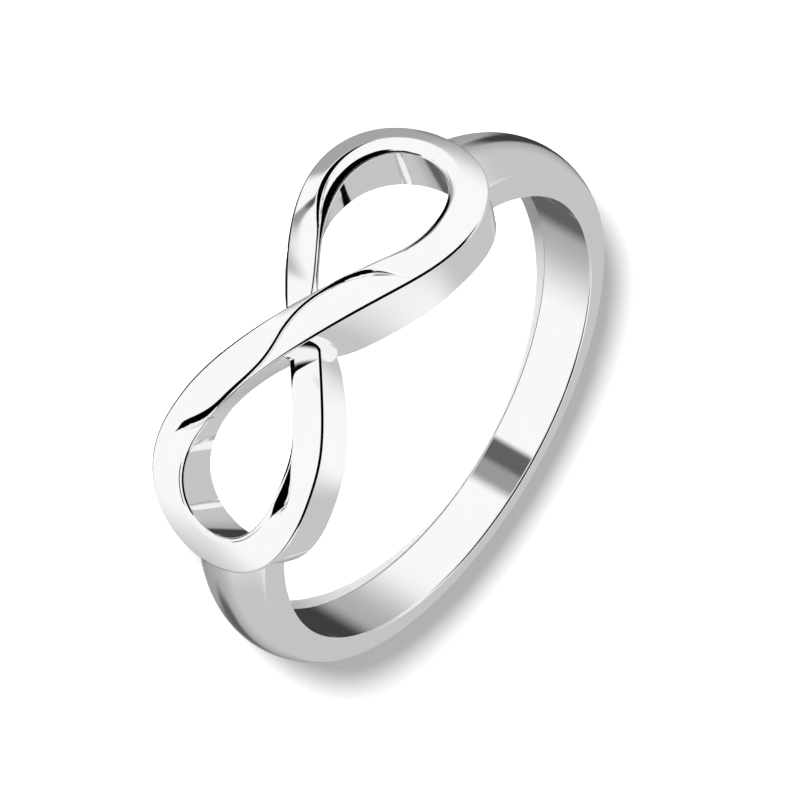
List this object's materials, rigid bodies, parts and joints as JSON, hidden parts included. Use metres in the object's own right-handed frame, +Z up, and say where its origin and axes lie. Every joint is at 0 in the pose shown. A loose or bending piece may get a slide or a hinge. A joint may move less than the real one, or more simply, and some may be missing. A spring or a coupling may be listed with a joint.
{
  "type": "infinity ring",
  "caption": "Polished silver finger ring: a domed band that carries a lying figure-eight knot of one crossing strand, resting on its side.",
  "frame": {"origin": "on the surface that the ring lies on, under the middle of its box", "axes": "+Z up from that surface, -Y towards the knot, X along the knot's length; the finger hole leans 8.1 degrees from +Z towards the band's back"},
  "size_m": [0.0202, 0.0202, 0.0067],
  "materials": {
    "polished_silver": "mirror polished sterling silver with fine wear"
  },
  "bodies": {
    "root": {"infinity_ring": "polished_silver"}
  },
  "joints": []
}
